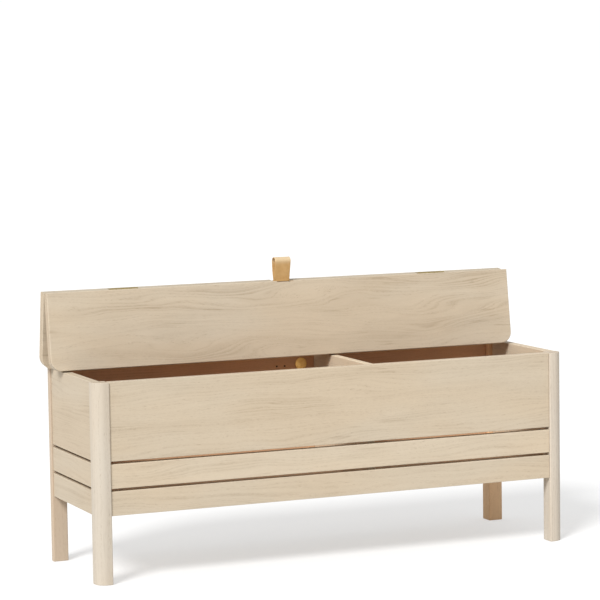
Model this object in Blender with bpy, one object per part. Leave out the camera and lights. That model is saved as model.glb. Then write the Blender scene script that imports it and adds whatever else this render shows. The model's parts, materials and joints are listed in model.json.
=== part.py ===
"""Oak storage bench: an open box on four legs, split by a divider, under a two-board folding lid.

Metres, +Z up, +X to the right along the bench and -Y towards its front. The floor is z = 0. The lid
stands folded on the box, its outer edges on the box top and its brass-hinged seam uppermost.
"""
import math

import bmesh
import bpy
from mathutils import Matrix, Vector

GAP = 0.0003                     # clearance between pieces that touch
OVERRUN = 0.01                   # how far cutting shapes run past a face

# Box
BOX_LENGTH = 1.106
BOX_DEPTH = 0.334
BOX_HEIGHT = 0.427
BOX_X = 0.012                    # box centre, so that the whole bench is centred on x = 0
LEG = 0.034
LEG_OUTER_RADIUS = 0.024
LEG_INNER_RADIUS = 0.002
BOARD = 0.020                    # thickness of every board round the box
RECESS = 0.0035                  # the legs stand proud of the boards by this much
SLAT_BOTTOM = 0.145
SLAT_HEIGHT = 0.0515
SLAT_SPACE = 0.006               # open gap above each slat
EASE = 0.0012                    # rounding of the board edges
TENON = 0.010                    # thickness and length of the board tenons
TENON_SHOULDER = 0.009
DIVIDER = 0.016
DIVIDER_X = BOX_X + 0.0875
DIVIDER_HOUSING = 0.004          # depth of the groove that holds the divider's ends
BATTEN = 0.014
BOTTOM = 0.012
BOTTOM_Z = 0.162
DISC_RADIUS = 0.014
DISC_THICKNESS = 0.002
DISC_X = BOX_X + 0.0467
DISC_Z = 0.400
PIN_HEAD_RADIUS = 0.0022
PIN_HEAD_HEIGHT = 0.0009
PIN_HEADS = (("rear_board_pin_left", BOX_X - 0.0123), ("rear_board_pin_right", BOX_X + 0.0073))
PIN_HEAD_Z = 0.3968

# Lid, in board coordinates: u from the seam to the outer edge, v up from the lower face when closed
LID_LENGTH = 1.110
LID_SHIFT_X = -0.022             # the standing lid's centre from the box centre
LID_BOARD = 0.170
LID_THICKNESS = 0.020
LID_CORNER_RADIUS = 0.025
LID_EASE = 0.0015
SEAM_SPACE = 0.0005              # from the seam plane to each board
PIVOT_DROP = 0.002               # hinge axis below the lower faces
LEAN = math.radians(8.0)         # each board's lean from upright
SEAM_Y = 0.0857
BEAD_RADIUS = 0.002
BEAD_U = LID_BOARD - 0.0013
BEAD_V = 0.0013

# Butt hinges, let into the seam edges
HINGE_LENGTH = 0.064
HINGE_X = 0.372
LEAF = 0.0016
LEAF_BACK = 0.0002               # the leaf's inner face, from the seam plane
LEAF_TOP_V = 0.016
KNUCKLE_RADIUS = 0.003
KNUCKLES = 5
BORE_RADIUS = 0.0013
PIN_RADIUS = 0.0010
SCREW_V = 0.0095
SCREW_SPACING = 0.022
SCREW_HEAD_RADIUS = 0.0028
SCREW_SHANK_RADIUS = 0.0014
SCREW_LENGTH = 0.0127

# Leather pull loop
STRAP_WIDTH = 0.038
LOOP_HEIGHT = 0.054              # from the hinge axis to the top of the loop
LOOP_RADIUS = 0.0085
LOOP_WALL = 0.0022
NECK_HALF = 0.0022               # half of the two plies together
NECK_TOP = 0.027
LOOP_FOOT = 0.005                # from the neck to the foot of the opening
ROLL_RADIUS = 0.0017
TAIL_START = 0.0032
TAIL_LENGTH = 0.030
TAIL_PROUD = 0.0012
TAIL_DEPTH = 0.0026
TAIL_EASE = 0.0005
TAIL_SCREW_SPACING = 0.020
TAIL_SCREW_U = TAIL_START + 0.6 * TAIL_LENGTH
TAIL_SCREW_END = 0.012
TAIL_SHANK = 0.0013
TAIL_HEAD = 0.0030
TAIL_HEAD_HEIGHT = 0.0011

ACROSS = Matrix.Rotation(math.radians(90), 4, "Y")          # turns a Z axis onto X
OUTWARD = Matrix.Rotation(math.radians(-90), 4, "X")        # turns a Z axis onto Y


def clear_scene():
    for item in list(bpy.data.objects):
        bpy.data.objects.remove(item, do_unlink=True)


def make_material(name, colour, roughness, metallic=0.0):
    made = bpy.data.materials.new(name)
    made.use_nodes = True
    shader = made.node_tree.nodes["Principled BSDF"]
    shader.inputs["Base Color"].default_value = (*colour, 1.0)
    shader.inputs["Roughness"].default_value = roughness
    shader.inputs["Metallic"].default_value = metallic
    made.diffuse_color = (*colour, 1.0)
    return made


def oak(name, shade=1.0):
    return make_material(name, (0.66 * shade, 0.54 * shade, 0.40 * shade), 0.62)


def brass(name):
    return make_material(name, (0.62, 0.44, 0.16), 0.32, 1.0)


def leather(name):
    return make_material(name, (0.56, 0.34, 0.14), 0.58)


def box(x, y, z):
    """A box from three (low, high) pairs."""
    shape = bmesh.new()
    bmesh.ops.create_cube(shape, size=1.0)
    for vert in shape.verts:
        for axis, (low, high) in enumerate((x, y, z)):
            vert.co[axis] = low if vert.co[axis] < 0 else high
    return shape


def ease(shape, width, segments=2, pick=None):
    """Rounds the picked edges, or all of them."""
    edges = [edge for edge in shape.edges if pick is None or pick(edge)]
    bmesh.ops.bevel(shape, geom=edges, offset=width, offset_type="OFFSET", segments=segments,
                    profile=0.5, affect="EDGES")
    return shape


def prism(outline, low, high):
    """Extrudes an anticlockwise XY outline from z = low to z = high."""
    shape = bmesh.new()
    face = shape.faces.new([shape.verts.new((x, y, low)) for x, y in outline])
    top = bmesh.ops.extrude_face_region(shape, geom=[face])["geom"]
    bmesh.ops.translate(shape, verts=[v for v in top if isinstance(v, bmesh.types.BMVert)],
                        vec=(0.0, 0.0, high - low))
    bmesh.ops.recalc_face_normals(shape, faces=shape.faces)
    return shape


def turned(radius_low, radius_high, low, high, sides=24, turn=None, at=(0.0, 0.0, 0.0)):
    """A cylinder or cone frustum along Z, then turned and moved."""
    shape = bmesh.new()
    bmesh.ops.create_cone(shape, cap_ends=True, segments=sides, radius1=radius_low, radius2=radius_high,
                          depth=high - low)
    bmesh.ops.translate(shape, verts=shape.verts, vec=(0.0, 0.0, (low + high) / 2))
    if turn is not None:
        bmesh.ops.transform(shape, matrix=turn, verts=shape.verts)
    bmesh.ops.translate(shape, verts=shape.verts, vec=at)
    return shape


def arc(centre, radius, start, end, steps):
    """Points on an arc, angles in degrees."""
    points = []
    for step in range(steps + 1):
        angle = math.radians(start + (end - start) * step / steps)
        points.append((centre[0] + radius * math.cos(angle), centre[1] + radius * math.sin(angle)))
    return points


def combine(shape, tools, operation):
    """Booleans a list of closed shapes into a shape, and returns the result."""
    scene = bpy.context.scene
    mesh = bpy.data.meshes.new("work")
    shape.to_mesh(mesh)
    shape.free()
    body = bpy.data.objects.new("work", mesh)
    scene.collection.objects.link(body)
    helpers = []
    for tool in tools:
        tool_mesh = bpy.data.meshes.new("tool")
        tool.to_mesh(tool_mesh)
        tool.free()
        helper = bpy.data.objects.new("tool", tool_mesh)
        scene.collection.objects.link(helper)
        helpers.append(helper)
        modifier = body.modifiers.new("combine", "BOOLEAN")
        modifier.operation = operation
        modifier.solver = "EXACT"
        modifier.object = helper
    graph = bpy.context.evaluated_depsgraph_get()
    graph.update()
    result = bmesh.new()
    result.from_object(body, graph)
    for item in [body] + helpers:
        used = item.data
        bpy.data.objects.remove(item, do_unlink=True)
        bpy.data.meshes.remove(used)
    return result


def cut(shape, *tools):
    return combine(shape, tools, "DIFFERENCE")


def join(shape, *tools):
    return combine(shape, tools, "UNION")


def place(name, shape, material, parent=None, round_piece=False):
    """Turns a shape, given in its parent's axes, into the named object."""
    mesh = bpy.data.meshes.new(name)
    shape.to_mesh(mesh)
    shape.free()
    mesh.materials.append(material)
    if round_piece:
        mesh.shade_smooth()
        mesh.set_sharp_from_angle(angle=math.radians(35))
    item = bpy.data.objects.new(name, mesh)
    bpy.context.scene.collection.objects.link(item)
    item.parent = parent
    return item


def axis_empty(name, location, turn=0.0):
    """An empty on a joint's axis, which runs along X."""
    item = bpy.data.objects.new(name, None)
    item.location = location
    item.rotation_euler = (turn, 0.0, 0.0)
    item.empty_display_size = 0.05
    bpy.context.scene.collection.objects.link(item)
    return item


def board_levels():
    """(name, bottom, top) of the three boards on each side of the box, from the floor up."""
    step = SLAT_HEIGHT + SLAT_SPACE
    return (("lower_slat", SLAT_BOTTOM, SLAT_BOTTOM + SLAT_HEIGHT),
            ("upper_slat", SLAT_BOTTOM + step, SLAT_BOTTOM + step + SLAT_HEIGHT),
            ("board", SLAT_BOTTOM + 2 * step, BOX_HEIGHT))


# Box ----------------------------------------------------------------------------------------------

def tenon_centre():
    """Middle of the board thickness, measured in from the leg's outer face."""
    return RECESS + BOARD / 2


def leg(name, side_x, side_y):
    """A square leg with a wide round on its outer corner and mortises for six tenons."""
    far = LEG - LEG_INNER_RADIUS
    outline = (arc((LEG_OUTER_RADIUS, LEG_OUTER_RADIUS), LEG_OUTER_RADIUS, 180, 270, 12)
               + arc((far, LEG_INNER_RADIUS), LEG_INNER_RADIUS, 270, 360, 3)
               + arc((far, far), LEG_INNER_RADIUS, 0, 90, 3)
               + arc((LEG_INNER_RADIUS, far), LEG_INNER_RADIUS, 90, 180, 3))
    shape = prism(outline, 0.0, BOX_HEIGHT)
    ease(shape, EASE, pick=lambda edge: abs(edge.verts[0].co.z - edge.verts[1].co.z) < 1e-6)
    half = TENON / 2 + GAP
    across = (tenon_centre() - half, tenon_centre() + half)
    inward = (LEG - TENON - GAP, LEG + OVERRUN)
    sockets = []
    for _, bottom, top in board_levels():
        height = (bottom + TENON_SHOULDER - GAP, top - TENON_SHOULDER + GAP)
        sockets.append(box(inward, across, height))
        sockets.append(box(across, inward, height))
    shape = cut(shape, *sockets)
    corner = Vector((BOX_X - side_x * BOX_LENGTH / 2, -side_y * BOX_DEPTH / 2, 0.0))
    mirror = Matrix.Diagonal((side_x, side_y, 1.0, 1.0))
    bmesh.ops.transform(shape, matrix=Matrix.Translation(corner) @ mirror, verts=shape.verts)
    if side_x * side_y < 0:
        bmesh.ops.reverse_faces(shape, faces=shape.faces)
    place(name, shape, oak(name), round_piece=True)


def wall_board(half_length, bottom, top, housing_x=None):
    """A board along X, centred on x = 0, its outer face on y = 0 and its thickness towards +Y."""
    shape = box((-half_length, half_length), (0.0, BOARD), (bottom, top))
    ease(shape, EASE)
    middle = (BOARD / 2 - TENON / 2, BOARD / 2 + TENON / 2)
    height = (bottom + TENON_SHOULDER, top - TENON_SHOULDER)
    reach = half_length + TENON
    root = half_length - TENON
    shape = join(shape, box((-reach, -root), middle, height), box((root, reach), middle, height))
    if housing_x is not None:
        half = DIVIDER / 2 + GAP
        groove = (BOARD - DIVIDER_HOUSING - GAP, BOARD + OVERRUN)
        full = (bottom - OVERRUN, top + OVERRUN)
        shape = cut(shape, box((housing_x - half, housing_x + half), groove, full))
    return shape


def long_walls():
    """Front and rear: one tall board above two slats, housed for the divider."""
    half_length = BOX_LENGTH / 2 - LEG - GAP
    outer_y = BOX_DEPTH / 2 - RECESS
    for side, turn in (("front", 0.0), ("rear", math.pi)):
        sign = -1.0 if side == "front" else 1.0
        for level, bottom, top in board_levels():
            name = side + "_" + level
            shape = wall_board(half_length, bottom, top, -sign * (DIVIDER_X - BOX_X))
            matrix = Matrix.Translation((BOX_X, sign * outer_y, 0.0)) @ Matrix.Rotation(turn, 4, "Z")
            bmesh.ops.transform(shape, matrix=matrix, verts=shape.verts)
            place(name, shape, oak(name, 0.98))


def end_walls():
    """Left and right: the same three boards, shorter."""
    half_length = BOX_DEPTH / 2 - LEG - GAP
    outer_x = BOX_LENGTH / 2 - RECESS
    for side, sign, turn in (("left", -1.0, -math.pi / 2), ("right", 1.0, math.pi / 2)):
        for level, bottom, top in board_levels():
            name = side + "_" + level
            shape = wall_board(half_length, bottom, top)
            matrix = Matrix.Translation((BOX_X + sign * outer_x, 0.0, 0.0)) @ Matrix.Rotation(turn, 4, "Z")
            bmesh.ops.transform(shape, matrix=matrix, verts=shape.verts)
            place(name, shape, oak(name, 0.98))


def inner_half_length():
    return BOX_LENGTH / 2 - RECESS - BOARD - GAP


def inner_half_depth():
    return BOX_DEPTH / 2 - RECESS - BOARD - GAP


def bottom_board():
    """The floor of the box, notched round the four legs and laid on the battens."""
    long_x, long_y = inner_half_length(), inner_half_depth()
    notch_x = BOX_LENGTH / 2 - LEG - GAP
    notch_y = BOX_DEPTH / 2 - LEG - GAP
    quarter = ((notch_x, long_y), (notch_x, notch_y), (long_x, notch_y))
    outline = [(x, -y) for x, y in quarter] + [(x, y) for x, y in reversed(quarter)]
    outline += [(-x, y) for x, y in quarter] + [(-x, -y) for x, y in reversed(quarter)]
    shape = prism(outline, BOTTOM_Z, BOTTOM_Z + BOTTOM)
    bmesh.ops.translate(shape, verts=shape.verts, vec=(BOX_X, 0.0, 0.0))
    place("bottom_board", shape, oak("bottom_board", 0.92))


def battens():
    """Four strips on the lower slats that carry the bottom board."""
    top = BOTTOM_Z - GAP
    long_x, long_y = inner_half_length(), inner_half_depth()
    height = (top - BATTEN, top)
    reach_x = BOX_LENGTH / 2 - LEG - GAP
    reach_y = long_y - BATTEN - GAP
    for name, sign in (("front_batten", -1.0), ("rear_batten", 1.0)):
        depth = sorted((sign * long_y, sign * (long_y - BATTEN)))
        shape = ease(box((BOX_X - reach_x, BOX_X + reach_x), depth, height), EASE)
        place(name, shape, oak(name, 0.92))
    for name, sign in (("left_batten", -1.0), ("right_batten", 1.0)):
        across = sorted((BOX_X + sign * long_x, BOX_X + sign * (long_x - BATTEN)))
        shape = ease(box(across, (-reach_y, reach_y), height), EASE)
        place(name, shape, oak(name, 0.92))


def divider():
    """The upright board between the two compartments, its ends housed in the long walls."""
    reach = BOX_DEPTH / 2 - RECESS - BOARD + DIVIDER_HOUSING
    shape = box((DIVIDER_X - DIVIDER / 2, DIVIDER_X + DIVIDER / 2), (-reach, reach),
                (BOTTOM_Z + BOTTOM + GAP, BOX_HEIGHT))
    place("divider", ease(shape, EASE), oak("divider", 0.98))


def rear_fittings():
    """A round brass disc and two small pin heads on the rear board's inner face."""
    face = BOX_DEPTH / 2 - RECESS - BOARD - GAP
    disc = turned(DISC_RADIUS, DISC_RADIUS, -DISC_THICKNESS, 0.0, 40, OUTWARD, (DISC_X, face, DISC_Z))
    ease(disc, 0.0005, pick=lambda edge: all(vert.co.y < face - 0.001 for vert in edge.verts))
    place("brass_disc", disc, brass("brass_disc"), round_piece=True)
    for name, x in PIN_HEADS:
        head = turned(0.6 * PIN_HEAD_RADIUS, PIN_HEAD_RADIUS, -PIN_HEAD_HEIGHT, 0.0, 16, OUTWARD,
                      (x, face, PIN_HEAD_Z))
        place(name, head, make_material(name, (0.10, 0.07, 0.05), 0.5, 0.6), round_piece=True)


# Lid ----------------------------------------------------------------------------------------------

class Side:
    """Maps board coordinates onto an empty's axes, for the rear board or its mirror image."""

    def __init__(self, word, sign, origin_u, origin_v, empty):
        self.word = word
        self.sign = sign
        self.origin = Vector((0.0, origin_u, origin_v))
        self.empty = empty

    def put(self, name, shape, material, round_piece=False, empty=None):
        bmesh.ops.translate(shape, verts=shape.verts, vec=-self.origin)
        if self.sign < 0:
            bmesh.ops.scale(shape, vec=(1.0, -1.0, 1.0), verts=shape.verts)
            bmesh.ops.reverse_faces(shape, faces=shape.faces)
        place(name, shape, material, empty or self.empty, round_piece)


def hinge_places():
    return (("left", -HINGE_X), ("right", HINGE_X))


def screw_places(middle):
    return [middle + SCREW_SPACING * step for step in (-1, 0, 1)]


def lid_board(side):
    """One lid board, in board coordinates: x along the seam, y = u and z = v."""
    half = LID_LENGTH / 2
    radius = LID_CORNER_RADIUS
    outline = ([(-half, SEAM_SPACE), (half, SEAM_SPACE)]
               + arc((half - radius, LID_BOARD - radius), radius, 0, 90, 8)
               + arc((radius - half, LID_BOARD - radius), radius, 90, 180, 8))
    shape = prism(outline, 0.0, LID_THICKNESS)
    ease(shape, LID_EASE, 3, pick=lambda edge: abs(edge.verts[0].co.z - edge.verts[1].co.z) < 1e-6)
    straight = half - radius + GAP
    tools = [turned(BEAD_RADIUS + GAP, BEAD_RADIUS + GAP, -straight, straight, 24, ACROSS,
                    (0.0, BEAD_U, BEAD_V))]
    long = HINGE_LENGTH / 2 + GAP
    clear = KNUCKLE_RADIUS + GAP
    for _, middle in hinge_places():
        tools.append(turned(clear, clear, middle - long, middle + long, 24, ACROSS, (0.0, 0.0, -PIVOT_DROP)))
        tools.append(box((middle - long, middle + long), (-OVERRUN, LEAF_BACK + LEAF + GAP),
                         (-OVERRUN, LEAF_TOP_V + GAP)))
        for x in screw_places(middle):
            pilot = SCREW_SHANK_RADIUS + GAP
            tools.append(turned(pilot, pilot, 0.0, SCREW_LENGTH + GAP + LEAF_BACK, 16, OUTWARD,
                                (x, 0.0, SCREW_V)))
    notch = STRAP_WIDTH / 2 + 2 * GAP
    tools.append(box((-notch, notch), (-OVERRUN, NECK_HALF + 2 * GAP), (-OVERRUN, LID_THICKNESS + OVERRUN)))
    if side.word == "rear":
        tail_end = TAIL_START + TAIL_LENGTH + GAP
        tools.append(box((-notch, notch), (-OVERRUN, tail_end), (-OVERRUN, TAIL_DEPTH + GAP)))
        for x in (-TAIL_SCREW_SPACING / 2, TAIL_SCREW_SPACING / 2):
            pilot = TAIL_SHANK + GAP
            tools.append(turned(pilot, pilot, 0.0, TAIL_SCREW_END + GAP, 16, None, (x, TAIL_SCREW_U, 0.0)))
    name = "lid_" + side.word + "_board"
    side.put(name, cut(shape, *tools), oak(name, 1.02))


def bead(name, side, empty=None):
    """The round oak bead let into a lid board's outer lower corner."""
    half = LID_LENGTH / 2 - LID_CORNER_RADIUS
    shape = turned(BEAD_RADIUS, BEAD_RADIUS, -half, half, 20, ACROSS, (0.0, BEAD_U, BEAD_V))
    side.put(name, shape, oak(name, 0.95), True, empty)


def knuckle_span(number):
    """The low and high x of one knuckle, from the hinge's middle."""
    step = HINGE_LENGTH / KNUCKLES
    low = -HINGE_LENGTH / 2 + number * step
    high = low + step
    if number > 0:
        low += GAP / 2
    if number < KNUCKLES - 1:
        high -= GAP / 2
    return low, high


def hinge_leaf(name, side, middle, own):
    """A leaf with its own knuckles, cleared round the other leaf's knuckles, bored and countersunk."""
    half = HINGE_LENGTH / 2
    axis = (middle, 0.0, -PIVOT_DROP)
    shape = box((middle - half, middle + half), (LEAF_BACK, LEAF_BACK + LEAF), (-PIVOT_DROP, LEAF_TOP_V))
    cuts = []
    knuckles = []
    for number in range(KNUCKLES):
        low, high = knuckle_span(number)
        if number in own:
            knuckles.append(turned(KNUCKLE_RADIUS, KNUCKLE_RADIUS, low, high, 24, ACROSS, axis))
        else:
            clear = KNUCKLE_RADIUS + GAP
            start = low - (OVERRUN if number == 0 else GAP)
            stop = high + (OVERRUN if number == KNUCKLES - 1 else GAP)
            cuts.append(turned(clear, clear, start, stop, 24, ACROSS, axis))
    shape = cut(shape, *cuts)
    shape = join(shape, *knuckles)
    holes = [turned(BORE_RADIUS, BORE_RADIUS, -half - OVERRUN, half + OVERRUN, 16, ACROSS, axis)]
    for x in screw_places(middle):
        holes.append(turned(SCREW_HEAD_RADIUS + 2 * GAP, SCREW_SHANK_RADIUS + GAP, -0.0001, LEAF + 0.0001,
                            20, OUTWARD, (x, LEAF_BACK, SCREW_V)))
    side.put(name, cut(shape, *holes), brass(name), round_piece=True)


def hinge_screw(name, side, x):
    """A countersunk screw through the leaf into the seam edge."""
    start = LEAF_BACK + GAP
    head = LEAF_BACK + LEAF - GAP / 2
    shape = turned(SCREW_HEAD_RADIUS, SCREW_SHANK_RADIUS + 0.0001, start, head, 16, OUTWARD, (x, 0.0, SCREW_V))
    shank = turned(SCREW_SHANK_RADIUS, 0.0006, head - 0.0003, SCREW_LENGTH, 16, OUTWARD, (x, 0.0, SCREW_V))
    side.put(name, join(shape, shank), brass(name), round_piece=True)


def hinges(rear, front):
    for word, middle in hinge_places():
        hinge_leaf("hinge_" + word + "_rear_leaf", rear, middle, (0, 2, 4))
        hinge_leaf("hinge_" + word + "_front_leaf", front, middle, (1, 3))
        reach = HINGE_LENGTH / 2 - GAP
        pin = turned(PIN_RADIUS, PIN_RADIUS, -reach, reach, 16, ACROSS, (middle, 0.0, -PIVOT_DROP))
        name = "hinge_" + word + "_pin"
        rear.put(name, pin, brass(name), round_piece=True)
        for side in (rear, front):
            for number, x in enumerate(screw_places(middle), 1):
                hinge_screw("hinge_%s_%s_screw_%d" % (word, side.word, number), side, x)


def tangent_from(point, centre, radius):
    """Angle, in degrees, at which the line from a point on the right touches the circle's right side."""
    reach = Vector((centre[0] - point[0], centre[1] - point[1]))
    lean = math.asin(radius / reach.length)
    return math.degrees(math.atan2(reach.y, reach.x) - lean) - 90.0


def loop_outline(neck, foot, centre_z, radius):
    """The right half then the left half of a drop shape, from its foot up and over the top."""
    start = tangent_from((neck, foot), (0.0, centre_z), radius)
    over = arc((0.0, centre_z), radius, start, 180.0 - start, 24)
    return [(neck, foot)] + over + [(-neck, foot)]


def pull_loop(empty):
    """The folded strap: a rounded foot on the hinge axis, a neck of two plies and an open bulb."""
    centre_z = LOOP_HEIGHT - LOOP_RADIUS
    outer = arc((0.0, 0.0), ROLL_RADIUS, 180, 360, 8)
    outer += [(NECK_HALF, ROLL_RADIUS)] + loop_outline(NECK_HALF, NECK_TOP, centre_z, LOOP_RADIUS)
    outer += [(-NECK_HALF, ROLL_RADIUS)]
    inner = loop_outline(0.0004, NECK_TOP + LOOP_FOOT, centre_z, LOOP_RADIUS - LOOP_WALL)
    half = STRAP_WIDTH / 2
    upright = Matrix(((0, 0, 1, 0), (1, 0, 0, 0), (0, 1, 0, 0), (0, 0, 0, 1)))
    solid = prism(outer, -half, half)
    hollow = prism(inner, -half - OVERRUN, half + OVERRUN)
    for shape in (solid, hollow):
        bmesh.ops.transform(shape, matrix=upright, verts=shape.verts)
    place("pull_loop", cut(solid, hollow), leather("pull_loop"), empty, round_piece=True)


def loop_tail(rear):
    """The strap's end, let into the rear board's lower face, and its two screws."""
    half = STRAP_WIDTH / 2
    middle = TAIL_SCREW_U
    shape = box((-half, half), (TAIL_START, TAIL_START + TAIL_LENGTH), (-TAIL_PROUD, TAIL_DEPTH))
    ease(shape, TAIL_EASE)
    holes = []
    for number, x in enumerate((-TAIL_SCREW_SPACING / 2, TAIL_SCREW_SPACING / 2), 1):
        holes.append(turned(TAIL_SHANK + GAP, TAIL_SHANK + GAP, -OVERRUN, OVERRUN, 16, None, (x, middle, 0.0)))
        seat = -TAIL_PROUD - GAP
        head = turned(0.0020, TAIL_HEAD, seat - TAIL_HEAD_HEIGHT, seat, 16, None, (x, middle, 0.0))
        shank = turned(TAIL_SHANK, TAIL_SHANK, seat - GAP, TAIL_SCREW_END, 16, None, (x, middle, 0.0))
        name = "pull_loop_screw_%d" % number
        rear.put(name, join(head, shank), brass(name), round_piece=True)
    rear.put("pull_loop_tail", cut(shape, *holes), leather("pull_loop_tail"))


def lid():
    """Both boards with their hardware, hung on empties that lie on the joint axes."""
    reach = Vector((BEAD_U, PIVOT_DROP + BEAD_V))
    stand = math.pi / 2 - LEAN
    rest_y = reach.x * math.cos(stand) + reach.y * math.sin(stand)
    rest_z = reach.x * math.sin(stand) - reach.y * math.cos(stand)
    bead_z = BOX_HEIGHT + GAP + BEAD_RADIUS
    lid_x = BOX_X + LID_SHIFT_X
    slide = axis_empty("lid_slide_axis", (lid_x, SEAM_Y + rest_y, bead_z))
    tilt = axis_empty("lid_tilt_axis", (lid_x, SEAM_Y + rest_y, bead_z), -stand)
    fold = axis_empty("lid_fold_axis", (lid_x, SEAM_Y, bead_z + rest_z), stand)
    upright = axis_empty("pull_loop_axis", (lid_x, SEAM_Y, bead_z + rest_z))
    rear = Side("rear", 1.0, BEAD_U, BEAD_V, tilt)
    front = Side("front", -1.0, 0.0, -PIVOT_DROP, fold)
    lid_board(rear)
    lid_board(front)
    bead("lid_rear_bead", rear, slide)
    bead("lid_front_bead", front)
    hinges(rear, front)
    pull_loop(upright)
    loop_tail(rear)


def main():
    clear_scene()
    for name, side_x, side_y in (("leg_front_left", 1, 1), ("leg_front_right", -1, 1),
                                 ("leg_rear_left", 1, -1), ("leg_rear_right", -1, -1)):
        leg(name, side_x, side_y)
    long_walls()
    end_walls()
    bottom_board()
    battens()
    divider()
    rear_fittings()
    lid()
    bpy.context.view_layer.update()


main()
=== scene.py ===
"""Looks for the oak storage bench: oiled oak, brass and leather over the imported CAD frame."""
import json
import math

import bmesh
import bpy
from mathutils import Matrix, Vector


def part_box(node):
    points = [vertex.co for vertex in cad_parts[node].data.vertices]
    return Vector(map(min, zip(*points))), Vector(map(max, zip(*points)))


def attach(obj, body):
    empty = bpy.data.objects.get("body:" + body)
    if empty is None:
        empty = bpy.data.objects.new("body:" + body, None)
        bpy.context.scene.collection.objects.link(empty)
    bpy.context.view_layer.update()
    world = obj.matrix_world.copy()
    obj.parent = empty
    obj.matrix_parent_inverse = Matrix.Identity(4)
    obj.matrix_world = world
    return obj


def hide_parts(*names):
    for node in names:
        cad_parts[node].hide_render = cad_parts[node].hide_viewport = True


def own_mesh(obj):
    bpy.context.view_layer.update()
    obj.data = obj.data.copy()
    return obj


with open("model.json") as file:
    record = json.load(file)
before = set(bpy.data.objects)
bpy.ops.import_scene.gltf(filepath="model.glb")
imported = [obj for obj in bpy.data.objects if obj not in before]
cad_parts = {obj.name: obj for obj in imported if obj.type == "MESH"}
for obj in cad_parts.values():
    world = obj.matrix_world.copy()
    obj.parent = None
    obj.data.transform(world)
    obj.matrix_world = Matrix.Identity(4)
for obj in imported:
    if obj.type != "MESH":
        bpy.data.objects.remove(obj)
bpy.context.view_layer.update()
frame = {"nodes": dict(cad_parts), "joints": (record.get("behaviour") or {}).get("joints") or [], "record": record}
NODES = frame["nodes"]
JOINTS = {joint["name"]: joint for joint in frame["joints"]}
PIVOT = Vector(JOINTS["lid_fold"]["pos_m"])
LEAN = math.radians(8.0)                  # each lid board's lean in the standing pose

X, Y, Z = Vector((1, 0, 0)), Vector((0, 1, 0)), Vector((0, 0, 1))

# Strap, in metres
STRAP_WIDTH = 0.038
STRAP_PLY = 0.0021
STRAP_SOFT = 0.00065                      # radius of the strap's long edges
PIVOT_DROP = 0.0020                       # the hinge axis, below the boards' lower faces
LOOP_TOP = 0.054
BULB_RADIUS = 0.0096                      # outer radius of the open bulb
NECK_TOP = 0.004
LOOP_LEAN = 0.030                         # above the boards the loop stands a touch askew
BOARD_TOP = 0.0225                        # the closed boards' upper faces, above the hinge axis
TAIL_START = 0.0032
TAIL_LENGTH = 0.030
TAIL_OUT, TAIL_IN = -0.0012, 0.0026       # the tail's outer and inner faces, from the board's lower face
TAIL_CORNER = 0.0035
TAIL_SOFT = 0.0005
PLY_GAP = 0.00005

# Screws, in metres
SCREW_BORE = 0.0017
SLOT_LENGTH = 0.010                       # longer than any head, so the slot runs right across
SLOT_WIDTH, SLOT_DEPTH = 0.0008, 0.0007   # the driver's slot in a screw head

# Oak colours, linear
OAK_LIGHT = (0.594, 0.503, 0.379)
OAK_DARK = (0.594, 0.481, 0.341)
OAK_DARK_SHARE = 0.74
OAK_PALE = (0.69, 0.635, 0.54)
PORE = (0.30, 0.21, 0.13)
FLECK = (0.68, 0.60, 0.48)
END_GRAIN = (0.46, 0.34, 0.215)
# Eased edges: partly rubbed wear, partly a painted highlight.
RUBBED_AND_LIT_EDGE = (0.68, 0.61, 0.50)
COOL_PATCH = (1.012, 1.012, 1.02)
WARM_PATCH = (1.015, 0.985, 0.955)
# Painted shade: the box's inner faces, the rear board's inner face and the bottom's upper face are darkened and
# warmed for the shade and warm bounce inside the box.
INSIDE_SHADE_TINT = (1.07, 0.82, 0.68)
REAR_INSIDE_SHADE_TINT = (1.11, 0.79, 0.63)
BOTTOM_INSIDE_SHADE_TINT = (1.02, 0.87, 0.76)
# Painted bounce light: the rear right leg's front and left faces are lightened and warmed.
RR_LEG_PAINTED_LIGHT_TINT = (1.42, 1.12, 0.87)
# Painted shade on the lid boards' top edges.
LID_TOP_EDGE_SHADE_TINT = (0.88, 0.90, 0.91)
LEG_TINTS = {"leg_front_left": (0.88, 0.875, 0.885), "leg_front_right": (0.97, 0.975, 1.01),
             "leg_rear_left": (0.91, 0.855, 0.84)}
# Painted light: the divider and the right side boards are made lighter to make up for the shade on their faces
# inside the box, and the left side boards darker to make up for the extra light on their outer faces.
TONES = {"front_upper_slat": 1.06, "divider": 1.14, "lid_front_board": 0.985}
LEFT_TONE, RIGHT_TONE = 0.92, 1.11
LID_SWIRLS = ((0.335, 0.476, 0.030, 0.070, 0.026),
              (-0.37, 0.500, -0.016, 0.10, 0.022),
              (0.02, 0.455, 0.012, 0.12, 0.020))

# Studio
KEY_DIRECTION = (0.57, 0.48, -0.66)
KEY_STRENGTH = 2.95
KEY_SPREAD = 18.0                         # degrees
SKY = 0.60                                # soft light from all round
BACKDROP = 1.02                           # what the camera sees behind the floor
FLOOR_SIZE = 40.0
FLOOR_SEEN = 0.50                         # grey share and glow of the floor that the camera sees
FLOOR_BOUNCE = (0.72, 0.715, 0.70)        # what the floor throws back onto the bench
CAMERA_PLACE = (-2.26764, -5.30497, 1.11320)
CAMERA_ANGLES = (23.1276, 5.4798, -0.8734)     # yaw, downward pitch and roll, degrees
LENS, SENSOR = 157.576, 36.0              # millimetres


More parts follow.
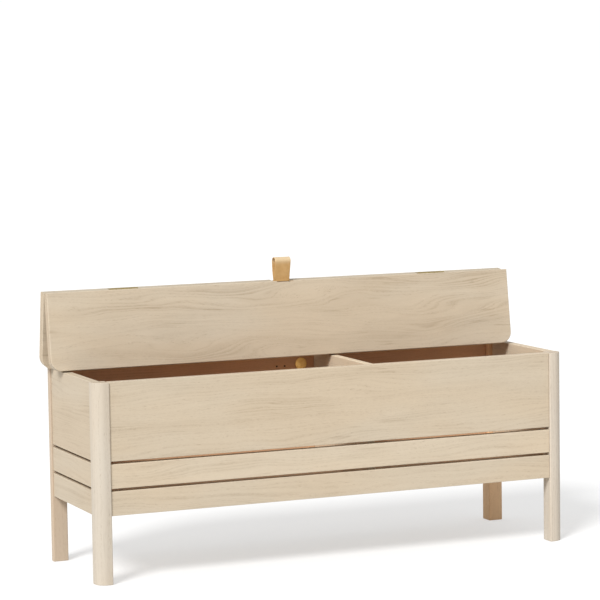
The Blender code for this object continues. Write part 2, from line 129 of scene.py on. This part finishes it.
class Tree:
    """A short way to write a material's nodes."""

    def __init__(self, tree):
        self.tree = tree

    def node(self, kind, out=0, settings=None, **inputs):
        made = self.tree.nodes.new(kind)
        for key, value in (settings or {}).items():
            setattr(made, key, value)
        for key, value in inputs.items():
            place = int(key[1:]) if key[0] == "i" and key[1:].isdigit() else key
            self.feed(made.inputs[place], value)
        return made.outputs[out]

    def feed(self, socket, value):
        if isinstance(value, bpy.types.NodeSocket):
            self.tree.links.new(value, socket)
        elif value is not None:
            socket.default_value = value

    def math(self, operation, a, b=None, c=None, clamp=False):
        settings = {"operation": operation, "use_clamp": clamp}
        return self.node("ShaderNodeMath", 0, settings, i0=a, i1=b, i2=c)

    def vector(self, operation, a, b=None, out=0):
        return self.node("ShaderNodeVectorMath", out, {"operation": operation}, i0=a, i1=b)

    def noise(self, vector, scale=1.0, detail=2.0, rough=0.5, out=0):
        return self.node("ShaderNodeTexNoise", out, None,
                         Vector=vector, Scale=scale, Detail=detail, Roughness=rough)

    def stretch(self, vector, x, y, z):
        return self.vector("MULTIPLY", vector, (x, y, z))

    def spread(self, value, low, high, to_low=0.0, to_high=1.0):
        return self.node("ShaderNodeMapRange", 0, {"interpolation_type": "SMOOTHSTEP"},
                         i0=value, i1=low, i2=high, i3=to_low, i4=to_high)

    def mix(self, factor, a, b, blend="MIX"):
        made = self.tree.nodes.new("ShaderNodeMix")
        made.data_type = "RGBA"
        made.blend_type = blend
        self.feed(made.inputs[0], factor)
        self.feed(made.inputs[6], a)
        self.feed(made.inputs[7], b)
        return made.outputs[2]

    def coords(self, kind="Object"):
        return self.tree.nodes.new("ShaderNodeTexCoord").outputs[kind]

    def split(self, vector):
        """The x, y and z of a vector."""
        made = self.tree.nodes.new("ShaderNodeSeparateXYZ")
        self.feed(made.inputs[0], vector)
        return made.outputs

    def tinted(self, colour, tint, factor=1.0):
        return self.mix(factor, colour, rgb(*tint), "MULTIPLY")

    def is_camera_ray(self):
        return self.tree.nodes.new("ShaderNodeLightPath").outputs["Is Camera Ray"]

    def bump(self, height, distance, strength=1.0):
        return self.node("ShaderNodeBump", 0, None, Height=height, Distance=distance, Strength=strength)


def new_material(name):
    made = bpy.data.materials.new(name)
    made.use_nodes = True
    return made, Tree(made.node_tree), made.node_tree.nodes["Principled BSDF"]


def rgb(red, green, blue):
    return (red, green, blue, 1.0)


def local_axes(tree, source, grain, width, normal):
    """Turns an object-space vector into (along the grain, across the board, through the board)."""
    parts = [tree.vector("DOT_PRODUCT", source, tuple(axis), out=1) for axis in (grain, width, normal)]
    return tree.node("ShaderNodeCombineXYZ", 0, None, i0=parts[0], i1=parts[1], i2=parts[2])


def width_centre(shift):
    """Where the heart of the tree lies across the board, different for every board."""
    return 0.035 * math.sin(40.0 * (shift[0] + 2.0 * shift[1]))


def grain_drift(tree, place, wave):
    """How far the grain wanders across and through the board: slow waves and small ripples."""
    half = (0.5, 0.5, 0.5)
    slow = tree.noise(tree.stretch(place, 3.2, 13.0, 13.0), 1.0, 1.5, 0.5, out=1)
    quick = tree.noise(tree.stretch(place, 11.0, 60.0, 60.0), 1.0, 2.0, 0.5, out=1)
    return tree.vector("ADD", tree.stretch(tree.vector("SUBTRACT", slow, half), 0.0, 0.055 * wave, 0.055 * wave),
                       tree.stretch(tree.vector("SUBTRACT", quick, half), 0.0, 0.0050, 0.0040))


def swirl_hump(tree, along, across, swirl):
    """A smooth hump in the rings' field, where they bend round a knot."""
    middle, level, height, long, wide = swirl
    parts = []
    for place, centre, size in ((along, middle, long), (across, level, wide)):
        offset = tree.math("DIVIDE", tree.math("SUBTRACT", place, centre), size)
        parts.append(tree.math("POWER", offset, 2.0))
    reach = tree.math("ADD", *parts)
    return tree.math("EXPONENT", tree.math("MULTIPLY", reach, -1.0)), height


def growth_rings(tree, bent, shift, pith, taper, swirls):
    """Dark bands of the growth rings, 0 to 1, sharp on one side and soft on the other."""
    spot = tree.split(bent)
    across = tree.math("SUBTRACT", spot[1], width_centre(shift))
    depth = tree.math("ADD", tree.math("MULTIPLY_ADD", spot[0], taper, pith), spot[2])
    radius = tree.math("SQRT", tree.math("ADD", tree.math("POWER", across, 2.0), tree.math("POWER", depth, 2.0)))
    for swirl in swirls:
        hump, height = swirl_hump(tree, spot[0], spot[1], swirl)
        radius = tree.math("MULTIPLY_ADD", hump, height, radius)
    season = tree.node("ShaderNodeTexNoise", 0, {"noise_dimensions": "1D"},
                       W=tree.math("MULTIPLY", radius, 80.0), Scale=1.0, Detail=1.0)
    turns = tree.math("ADD", tree.math("MULTIPLY", radius, 150.0), tree.math("MULTIPLY", season, 2.2))
    phase = tree.math("FRACT", turns)
    early = tree.math("SUBTRACT", 1.0, tree.spread(phase, 0.0, 0.50))
    return tree.math("MAXIMUM", early, tree.spread(phase, 0.72, 1.0))


def oak_darkness(tree, place, fibres, ring, fibre, streak, figure):
    """How dark the grain is at a point, 0 to 1: rings in patches, wisps, streaks and fibres."""
    blotch = tree.noise(tree.stretch(fibres, 5.0, 26.0, 26.0), 1.0, 2.0, 0.5)
    wisp = tree.noise(tree.stretch(fibres, 9.0, 150.0, 150.0), 1.0, 2.0, 0.5)
    wisp = tree.math("MULTIPLY", tree.spread(wisp, 0.60, 0.72), tree.spread(blotch, 0.46, 0.60))
    patch = tree.spread(blotch, 0.36, 0.66)
    swirl = tree.spread(tree.noise(tree.stretch(place, 2.1, 9.0, 9.0), 1.0, 1.0, 0.5), 0.38, 0.60)
    strength = tree.math("MULTIPLY_ADD", tree.math("MULTIPLY", patch, swirl), 0.34 * figure, 0.05 * figure)
    dark = tree.math("MULTIPLY", ring, strength)
    dark = tree.math("ADD", dark, tree.math("MULTIPLY", wisp, 0.52 * figure))
    dark = tree.math("ADD", dark, tree.math("MULTIPLY", tree.math("SUBTRACT", streak, 0.5), 0.40 * figure))
    dark = tree.math("ADD", dark, tree.math("MULTIPLY", tree.math("SUBTRACT", fibre, 0.5), 0.30))
    return tree.math("ADD", dark, tree.math("MULTIPLY_ADD", patch, 0.16 * figure, 0.08), clamp=True)


def oak_material(name, grain, width, normal, shift, pith=0.09, taper=0.05, tone=1.0, edges=True,
                 figure=1.0, pale=0.0, inward=None, inward_tint=INSIDE_SHADE_TINT, tint=None, wave=1.0, swirls=()):
    """White-oiled oak. The grain, width and normal are the board's own directions, and the facing direction picks
    out faces whose colour is tinted as painted light or shade, such as the painted shade and warm bounce inside
    the box. A swirl is a place where the rings bend round a knot: along, across, height, and its half length and
    half width."""
    made, tree, shader = new_material(name)
    board = local_axes(tree, tree.coords(), grain, width, normal)
    place = tree.vector("ADD", board, shift)
    drift = grain_drift(tree, place, wave)
    fibres = tree.vector("ADD", place, tree.stretch(drift, 0.0, 0.7, 0.7))
    ring = growth_rings(tree, tree.vector("ADD", board, drift), shift, pith, taper, swirls)
    streak = tree.noise(tree.stretch(fibres, 7.0, 120.0, 120.0), 1.0, 3.0, 0.6)
    fibre = tree.noise(tree.stretch(fibres, 22.0, 1000.0, 1000.0), 1.0, 3.0, 0.65)
    pore_field = tree.noise(tree.stretch(fibres, 90.0, 2300.0, 2300.0), 1.0, 1.0, 0.5)
    pore = tree.math("MULTIPLY", tree.spread(pore_field, 0.58, 0.70), tree.math("MULTIPLY_ADD", ring, 0.8, 0.2))
    fleck = tree.spread(tree.noise(tree.stretch(place, 120.0, 260.0, 900.0), 1.0, 1.0, 0.5), 0.66, 0.74)
    light_oak = [c * tone + (white - c) * pale for c, white in zip(OAK_LIGHT, OAK_PALE)]
    dark_oak = [c * OAK_DARK_SHARE * tone + (white - c) * pale * 0.7 for c, white in zip(OAK_DARK, OAK_PALE)]
    dark = oak_darkness(tree, place, fibres, ring, fibre, streak, figure)
    colour = tree.mix(dark, rgb(*light_oak), rgb(*dark_oak))
    warmth = tree.spread(tree.noise(tree.stretch(place, 2.6, 8.0, 8.0), 1.0, 2.0, 0.5), 0.36, 0.64)
    colour = tree.mix(warmth, tree.tinted(colour, COOL_PATCH), tree.tinted(colour, WARM_PATCH))
    colour = tree.mix(tree.math("MULTIPLY", pore, 0.50), colour, rgb(*PORE))
    colour = tree.mix(tree.math("MULTIPLY", fleck, 0.14), colour, rgb(*FLECK))
    facing = local_axes(tree, tree.coords("Normal"), grain, width, normal)
    faces = tree.split(tree.vector("ABSOLUTE", facing))
    end_grain = tree.math("MULTIPLY", tree.spread(faces[0], 0.80, 0.95), 0.35)
    colour = tree.mix(end_grain, colour, rgb(*(tone * c for c in END_GRAIN)))
    # Eased edges are paler: partly rubbed wear, partly a painted highlight where the rounded edges catch the
    # light.
    if edges:
        flatness = tree.math("MAXIMUM", tree.math("MAXIMUM", faces[0], faces[1]), faces[2])
        edge = tree.math("SUBTRACT", 1.0, tree.spread(flatness, 0.955, 0.992))
        edge_wear_and_highlight = tree.math("MULTIPLY", edge, tree.spread(streak, 0.30, 0.62, 0.05, 0.28))
        colour = tree.mix(edge_wear_and_highlight, colour, rgb(*(tone * c for c in RUBBED_AND_LIT_EDGE)))
    # Faces turned towards the given direction get a tint as painted light or shade: painted shade and warm bounce
    # inside the box, painted bounce light on the rear right leg, painted shade on the lid boards' top edges.
    if inward is not None:
        side = tree.vector("DOT_PRODUCT", tree.coords("Normal"), tuple(inward), out=1)
        colour = tree.tinted(colour, inward_tint, tree.spread(side, 0.6, 0.95))
    if tint is not None:
        colour = tree.tinted(colour, tint)
    rough = tree.math("ADD", tree.math("MULTIPLY_ADD", ring, 0.07, 0.50), tree.math("MULTIPLY", fibre, 0.12))
    tree.feed(shader.inputs["Base Color"], colour)
    tree.feed(shader.inputs["Roughness"], rough)
    relief = tree.math("SUBTRACT", tree.math("MULTIPLY", fibre, 0.45),
                       tree.math("ADD", pore, tree.math("MULTIPLY", ring, 0.25)))
    tree.feed(shader.inputs["Normal"], tree.bump(relief, 0.00022, 0.55))
    shader.inputs["Specular IOR Level"].default_value = 0.35
    shader.inputs["Sheen Weight"].default_value = 0.03
    return made


def brass_material(name, tone=1.0, brushed=(6.0, 900.0, 900.0), bright=(0.60, 0.46, 0.20),
                   dull=(0.44, 0.325, 0.13)):
    """Brushed metal with a cloudy tarnish."""
    made, tree, shader = new_material(name)
    coords = tree.coords()
    lines = tree.noise(tree.stretch(coords, *brushed), 1.0, 3.0, 0.6)
    tarnish = tree.noise(coords, 90.0, 3.0, 0.6)
    stain = tree.spread(tarnish, 0.42, 0.75)
    colour = tree.mix(stain, rgb(*(tone * c for c in bright)), rgb(*(tone * c for c in dull)))
    tree.feed(shader.inputs["Base Color"], colour)
    rough = tree.math("ADD", tree.math("MULTIPLY", lines, 0.16), tree.math("MULTIPLY_ADD", stain, 0.14, 0.20))
    tree.feed(shader.inputs["Roughness"], rough)
    tree.feed(shader.inputs["Normal"], tree.bump(lines, 0.00004, 0.5))
    shader.inputs["Metallic"].default_value = 1.0
    return made


def leather_material(name):
    """Vegetable-tanned leather: fine grain, mottled, paler over the top of the bend."""
    made, tree, shader = new_material(name)
    coords = tree.coords()
    height = tree.split(tree.vector("SUBTRACT", coords, tuple(PIVOT)))[2]
    mottle = tree.noise(coords, 85.0, 4.0, 0.6)
    cells = tree.node("ShaderNodeTexVoronoi", 0, {"feature": "DISTANCE_TO_EDGE"},
                      Vector=coords, Scale=1500.0)
    creases = tree.noise(tree.stretch(coords, 260.0, 900.0, 2600.0), 1.0, 3.0, 0.6)
    bend = tree.spread(height, LOOP_TOP - 0.019, LOOP_TOP - 0.003)
    body = tree.mix(tree.spread(mottle, 0.3, 0.72), rgb(0.62, 0.385, 0.158), rgb(0.56, 0.335, 0.125))
    colour = tree.mix(tree.math("MULTIPLY", bend, 0.62), body, rgb(0.72, 0.60, 0.41))
    pit = tree.math("SUBTRACT", 1.0, tree.spread(cells, 0.02, 0.16))
    colour = tree.mix(tree.math("MULTIPLY", pit, 0.14), colour, rgb(0.30, 0.15, 0.045))
    tree.feed(shader.inputs["Base Color"], colour)
    tree.feed(shader.inputs["Roughness"], tree.math("MULTIPLY_ADD", mottle, 0.22, 0.40))
    relief = tree.math("ADD", tree.math("MULTIPLY", tree.spread(cells, 0.0, 0.2), 0.6),
                       tree.math("MULTIPLY", tree.math("MULTIPLY", creases, bend), 0.9))
    tree.feed(shader.inputs["Normal"], tree.bump(relief, 0.00012, 0.6))
    shader.inputs["Sheen Weight"].default_value = 0.06
    shader.inputs["Specular IOR Level"].default_value = 0.4
    return made


def cut_edge_material(name):
    """The strap's cut edge: darker, fibrous and burnished."""
    made, tree, shader = new_material(name)
    fibres = tree.noise(tree.coords(), 900.0, 3.0, 0.7)
    colour = tree.mix(tree.spread(fibres, 0.3, 0.7), rgb(0.40, 0.22, 0.075), rgb(0.58, 0.36, 0.15))
    tree.feed(shader.inputs["Base Color"], colour)
    tree.feed(shader.inputs["Roughness"], tree.math("MULTIPLY_ADD", fibres, 0.25, 0.45))
    tree.feed(shader.inputs["Normal"], tree.bump(fibres, 0.0001, 0.5))
    return made


def dress(name, material):
    """Gives a CAD node one material in place of its packed one."""
    mesh = NODES[name].data
    mesh.materials.clear()
    mesh.materials.append(material)


# Oak and brass ------------------------------------------------------------------------------------

def slot_of(name):
    rows = frame["record"]["subparts"]
    return next((row["material_slot"] for row in rows if row["node"] == name), "")


def lid_axes(side):
    """Grain, width and normal of a standing lid board: side is 1 in front and -1 at the rear."""
    width = Vector((0, side * math.sin(LEAN), math.cos(LEAN)))
    return X, width, Vector((0, -side * math.cos(LEAN), math.sin(LEAN)))


def leg_options(name):
    front = "front" in name
    options = {"edges": False, "figure": 0.5, "taper": 0.02, "pale": 0.6 if front else 0.1, "wave": 0.6,
               "tint": LEG_TINTS.get(name)}
    # The rear right leg's front and left faces are lightened and warmed: painted bounce light in the shade under
    # the bench.
    if name == "leg_rear_right":
        options.update(inward=Vector((-1.3, -1.3, 0.0)), inward_tint=RR_LEG_PAINTED_LIGHT_TINT)
    return options


def board_look(name):
    """A node's grain, width and normal, and what sets its oak apart."""
    if name.startswith("leg"):
        return (Z, X, Y), leg_options(name)
    if name.startswith("lid"):
        front = name.startswith("lid_front")
        axes = lid_axes(1.0 if front else -1.0)
        # The lid boards' top edges get painted shade.
        return axes, {"figure": 1.15, "wave": 1.7, "swirls": LID_SWIRLS if front else (),
                      "inward": axes[1], "inward_tint": LID_TOP_EDGE_SHADE_TINT}
    if name == "bottom_board":
        # The bottom board's upper face gets painted shade and warm bounce.
        return (X, Y, Z), {"inward": Z, "inward_tint": BOTTOM_INSIDE_SHADE_TINT}
    if name == "divider":
        return (Y, Z, X), {}
    if name.startswith(("left", "right")):
        return (Y, Z, X), {"tone": LEFT_TONE if name.startswith("left") else RIGHT_TONE}
    # The front and rear boards' inner faces get painted shade and warm bounce, deeper on the rear board.
    tint = REAR_INSIDE_SHADE_TINT if name == "rear_board" else INSIDE_SHADE_TINT
    return (X, Z, -Y), {"inward": -Y if name.startswith("rear") else Y, "inward_tint": tint}


def dress_oak():
    """Every oak node, its grain along its own length and its pattern its own."""
    for number, name in enumerate(sorted(NODES)):
        if not slot_of(name).startswith("oak"):
            continue
        (grain, width, normal), look = board_look(name)
        low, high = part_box(name)
        shift = (0.37 * number, 0.113 * number, 0.071 * number)
        options = {"pith": 0.085 + 0.012 * (number % 4), "taper": 0.05 * (1 if number % 2 else -1),
                   "figure": 0.7, "tone": TONES.get(name, 1.0)}
        options.update(look)
        options["pith"] -= ((low + high) / 2).dot(normal)
        dress(name, oak_material("oak_" + name, grain, width, normal, shift, **options))


def dress_brass():
    brass = brass_material("hinge_brass")
    for name in NODES:
        if name.startswith("hinge") and name.endswith(("_leaf", "_pin")):
            dress(name, brass)
    disc = brass_material("disc_brass", 1.0, (700.0, 30.0, 700.0), (1.0, 0.72, 0.30), (0.86, 0.56, 0.20))
    dress("brass_disc", disc)
    dark = brass_material("dark_pin_metal", 0.12)
    for name in ("rear_board_pin_left", "rear_board_pin_right"):
        dress(name, dark)
    plain = brass_material("screw_brass", 1.0, (260.0, 260.0, 260.0))
    for number, name in enumerate(sorted(n for n in NODES if "screw" in n)):
        slotted_screw(name, 0.5 + 1.3 * number, plain)


def head_axis(name):
    """The direction that a screw's head faces, with the lid standing."""
    if name.startswith("pull"):
        return Vector((0, -math.cos(LEAN), -math.sin(LEAN)))
    side = 1.0 if "front" in name else -1.0
    return Vector((0, side * math.sin(LEAN), math.cos(LEAN)))


def brick(centre, along, wide, deep, size):
    """A closed block on three axes, as a temporary object for cutting."""
    shape = bmesh.new()
    bmesh.ops.create_cube(shape, size=1.0)
    for vert in shape.verts:
        spot = vert.co.copy()
        vert.co = centre + along * spot.x * size[0] + wide * spot.y * size[1] + deep * spot.z * size[2]
    bmesh.ops.recalc_face_normals(shape, faces=shape.faces)
    return loose_object("cutter", shape)


def loose_object(name, shape):
    mesh = bpy.data.meshes.new(name)
    shape.to_mesh(mesh)
    shape.free()
    made = bpy.data.objects.new(name, mesh)
    bpy.context.scene.collection.objects.link(made)
    return made


def carve(piece, cutters):
    """Cuts closed shapes out of a piece and removes them."""
    for cutter in cutters:
        step = piece.modifiers.new("carve", "BOOLEAN")
        step.operation, step.solver, step.object = "DIFFERENCE", "EXACT", cutter
    bpy.context.view_layer.update()
    solved = piece.evaluated_get(bpy.context.evaluated_depsgraph_get())
    mesh = bpy.data.meshes.new_from_object(solved)
    piece.modifiers.clear()
    piece.data = mesh
    for cutter in cutters:
        used = cutter.data
        bpy.data.objects.remove(cutter)
        bpy.data.meshes.remove(used)


def slotted_screw(name, turn, material):
    """The CAD screw with a real slot across its head."""
    axis = head_axis(name)
    points = [vert.co for vert in NODES[name].data.vertices]
    top = max(point.dot(axis) for point in points)
    rim = [point for point in points if point.dot(axis) > top - 0.0001]
    centre = sum(rim, Vector()) / len(rim)
    other = X.cross(axis)
    along = X * math.cos(turn) + other * math.sin(turn)
    made = bpy.data.objects.new("slotted_" + name, NODES[name].data.copy())
    bpy.context.scene.collection.objects.link(made)
    slot_size = (SLOT_LENGTH, SLOT_WIDTH, 2 * SLOT_DEPTH)
    carve(made, [brick(centre, along, axis.cross(along), axis, slot_size)])
    made.data.materials.clear()
    made.data.materials.append(material)
    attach(made, "lid_front" if "front" in name else "lid_rear")
    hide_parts(name)


# Leather ------------------------------------------------------------------------------------------

def arc(centre, radius, start, end, steps):
    points = []
    for step in range(steps + 1):
        angle = math.radians(start + (end - start) * step / steps)
        points.append(Vector((centre[0] + radius * math.cos(angle), centre[1] + radius * math.sin(angle))))
    return points


def strap_path():
    """The strap's middle line in (y, z) from the hinge axis: up one ply, round the bulb and down."""
    half = STRAP_PLY / 2 + PLY_GAP
    radius = BULB_RADIUS - STRAP_PLY / 2
    up = [Vector((half, -0.0006)), Vector((half, 0.001)), Vector((half, NECK_TOP - 0.001))]
    over = arc((0.0, LOOP_TOP - BULB_RADIUS), radius, -9.0, 189.0, 40)
    foot, top = Vector((half, NECK_TOP)), over[0]
    flare = []
    for step in range(1, 16):
        t = step / 16
        bow = 0.0006 * math.sin(math.pi * t)
        flare.append(foot.lerp(top, t) + Vector((bow, 0.0)))
    side = up + flare
    return side + over + [Vector((-point.x, point.y)) for point in reversed(side)]


def strap_profile(ply, lateral=16):
    """The strap's section as (x, out), its four long edges rounded; ply is half its thickness."""
    reach, flat = STRAP_WIDTH / 2 - STRAP_SOFT, STRAP_WIDTH - 2 * STRAP_SOFT
    profile = [(-reach + flat * step / lateral, ply) for step in range(lateral + 1)]
    profile += corner_points(reach, ply - STRAP_SOFT, (60, 30, 0))
    profile += corner_points(reach, -ply + STRAP_SOFT, (0, -30, -60))
    profile += [(reach - flat * step / lateral, -ply) for step in range(lateral + 1)]
    profile += corner_points(-reach, -ply + STRAP_SOFT, (240, 210, 180))
    return profile + corner_points(-reach, ply - STRAP_SOFT, (180, 150, 120))


def corner_points(x, out, angles):
    turns = [math.radians(angle) for angle in angles]
    return [(x + STRAP_SOFT * math.cos(turn), out + STRAP_SOFT * math.sin(turn)) for turn in turns]


def strap_rings(shape, path, profile):
    """The section's vertices at every point of the path."""
    rings = []
    for number, point in enumerate(path):
        before, after = path[max(number - 1, 0)], path[min(number + 1, len(path) - 1)]
        along = (after - before).normalized()
        side = Vector((-along.y, along.x))
        ring = []
        for x, out in profile:
            spot = point + side * out
            lean = LOOP_LEAN * max(spot.y - BOARD_TOP, 0.0)
            ring.append(shape.verts.new((PIVOT.x + x + lean, PIVOT.y + spot.x, PIVOT.z + spot.y)))
        rings.append(ring)
    return rings


def strap_mesh(name, path, surface, edge):
    """Sweeps the strap's section along a path in (y, z) from the hinge axis."""
    ply = STRAP_PLY / 2
    profile = strap_profile(ply)
    count = len(profile)
    shape = bmesh.new()
    rings = strap_rings(shape, path, profile)
    for first, second in zip(rings, rings[1:]):
        for number in range(count):
            other = (number + 1) % count
            face = shape.faces.new((first[number], first[other], second[other], second[number]))
            face.smooth = True
            level = abs(profile[number][1] + profile[other][1]) / 2
            face.material_index = 0 if level > ply - 0.0002 else 1
    for ring in (rings[0], rings[-1]):
        shape.faces.new(ring).material_index = 1
    bmesh.ops.recalc_face_normals(shape, faces=shape.faces)
    made = loose_object(name, shape)
    made.data.materials.append(surface)
    made.data.materials.append(edge)
    return made


def make_leather():
    surface, edge = leather_material("strap_leather"), cut_edge_material("strap_edge")
    loop = strap_mesh("leather_loop", strap_path(), surface, edge)
    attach(loop, "pull_loop")
    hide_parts("pull_loop")
    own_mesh(loop)
    leather_tail(surface, edge)


def tail_outline(inset):
    """The tail's plan in (x, u) from the seam, its free end's corners rounded."""
    half, low, high = STRAP_WIDTH / 2 - inset, TAIL_START + inset, TAIL_START + TAIL_LENGTH - inset
    corner = TAIL_CORNER - inset
    points = [Vector((-half, low)), Vector((half, low))]
    points += arc((half - corner, high - corner), corner, 0.0, 90.0, 8)
    return points + arc((-half + corner, high - corner), corner, 90.0, 180.0, 8)


def tail_ply(shape, outer, inner):
    """One ply: a closed slab with rolled edges, in (x, u, v)."""
    soft = TAIL_SOFT
    levels = [(outer, soft), (outer + 0.3 * soft, 0.3 * soft), (outer + soft, 0.0),
              (inner - soft, 0.0), (inner - 0.3 * soft, 0.3 * soft), (inner, soft)]
    rings = [[shape.verts.new((p.x, p.y, level)) for p in tail_outline(inset)] for level, inset in levels]
    for first, second in zip(rings, rings[1:]):
        for number in range(len(first)):
            other = (number + 1) % len(first)
            shape.faces.new((first[number], first[other], second[other], second[number])).material_index = 1
    shape.faces.new(rings[0])
    shape.faces.new(rings[-1])


def on_rear_board(x, u, v):
    """Board coordinates to the frame, with the lid standing."""
    out = v + PIVOT_DROP
    return Vector((PIVOT.x + x, PIVOT.y + u * math.sin(LEAN) + out * math.cos(LEAN),
                   PIVOT.z - u * math.cos(LEAN) + out * math.sin(LEAN)))


def screw_bore(name):
    """A closed rod through the tail, where a screw passes."""
    low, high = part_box(name)
    bore = bmesh.new()
    bmesh.ops.create_cone(bore, cap_ends=True, segments=24, radius1=SCREW_BORE, radius2=SCREW_BORE, depth=0.03)
    turn = head_axis(name).to_track_quat("Z", "Y").to_matrix().to_4x4()
    bmesh.ops.transform(bore, matrix=Matrix.Translation((low + high) / 2) @ turn, verts=bore.verts)
    return loose_object("bore", bore)


def leather_tail(surface, edge):
    """Both plies of the strap's end, let into the rear board's lower face and bored for two screws."""
    shape = bmesh.new()
    middle = (TAIL_OUT + TAIL_IN) / 2
    tail_ply(shape, TAIL_OUT, middle - PLY_GAP)
    tail_ply(shape, middle + PLY_GAP, TAIL_IN)
    for vert in shape.verts:
        vert.co = on_rear_board(*vert.co)
    bmesh.ops.recalc_face_normals(shape, faces=shape.faces)
    made = loose_object("leather_tail", shape)
    made.data.materials.append(surface)
    made.data.materials.append(edge)
    bores = [screw_bore(name) for name in ("pull_loop_screw_1", "pull_loop_screw_2")]
    carve(made, bores)
    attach(made, "lid_rear")
    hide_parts("pull_loop_tail")


# Stage --------------------------------------------------------------------------------------------

def make_floor():
    """A plain pale floor: the camera sees it near white, and it throws soft light onto the bench."""
    shape = bmesh.new()
    bmesh.ops.create_grid(shape, x_segments=1, y_segments=1, size=FLOOR_SIZE)
    floor = loose_object("floor", shape)
    made, tree, shader = new_material("floor")
    seen = tree.is_camera_ray()
    grey = rgb(FLOOR_SEEN, FLOOR_SEEN, FLOOR_SEEN)
    tree.feed(shader.inputs["Base Color"], tree.mix(seen, rgb(*FLOOR_BOUNCE), grey))
    shader.inputs["Emission Color"].default_value = rgb(1.0, 1.0, 1.0)
    tree.feed(shader.inputs["Emission Strength"], tree.math("MULTIPLY", seen, FLOOR_SEEN))
    shader.inputs["Roughness"].default_value = 0.9
    shader.inputs["Specular IOR Level"].default_value = 0.0
    floor.data.materials.append(made)


def make_light():
    """One broad sun and an even white sky."""
    data = bpy.data.lights.new("key", "SUN")
    data.energy = KEY_STRENGTH
    data.angle = math.radians(KEY_SPREAD)
    lamp = bpy.data.objects.new("key", data)
    lamp.rotation_euler = Vector(KEY_DIRECTION).to_track_quat("-Z", "Y").to_euler()
    bpy.context.scene.collection.objects.link(lamp)
    world = bpy.data.worlds.new("studio")
    world.use_nodes = True
    tree = Tree(world.node_tree)
    background = world.node_tree.nodes["Background"]
    background.inputs["Color"].default_value = rgb(1.0, 1.0, 1.0)
    strength = tree.math("MULTIPLY_ADD", tree.is_camera_ray(), BACKDROP - SKY, SKY)
    tree.feed(background.inputs["Strength"], strength)
    bpy.context.scene.world = world
    bpy.context.scene.view_settings.view_transform = "Standard"
    bpy.context.scene.view_settings.look = "None"


def make_camera():
    yaw, pitch, roll = (math.radians(angle) for angle in CAMERA_ANGLES)
    level = Vector((math.sin(yaw), math.cos(yaw), 0.0))
    forward = level * math.cos(pitch) - Z * math.sin(pitch)
    right = Vector((math.cos(yaw), -math.sin(yaw), 0.0))
    up = right.cross(forward)
    side = right * math.cos(roll) + up * math.sin(roll)
    top = up * math.cos(roll) - right * math.sin(roll)
    data = bpy.data.cameras.new("camera")
    data.sensor_width, data.lens = SENSOR, LENS
    data.clip_start, data.clip_end = 0.1, 100.0
    camera = bpy.data.objects.new("camera", data)
    turn = Matrix((side, top, -forward)).transposed().to_4x4()
    camera.matrix_world = Matrix.Translation(CAMERA_PLACE) @ turn
    bpy.context.scene.collection.objects.link(camera)
    bpy.context.scene.camera = camera


dress_oak()
dress_brass()
make_leather()
make_floor()
make_light()
make_camera()
bpy.context.view_layer.update()
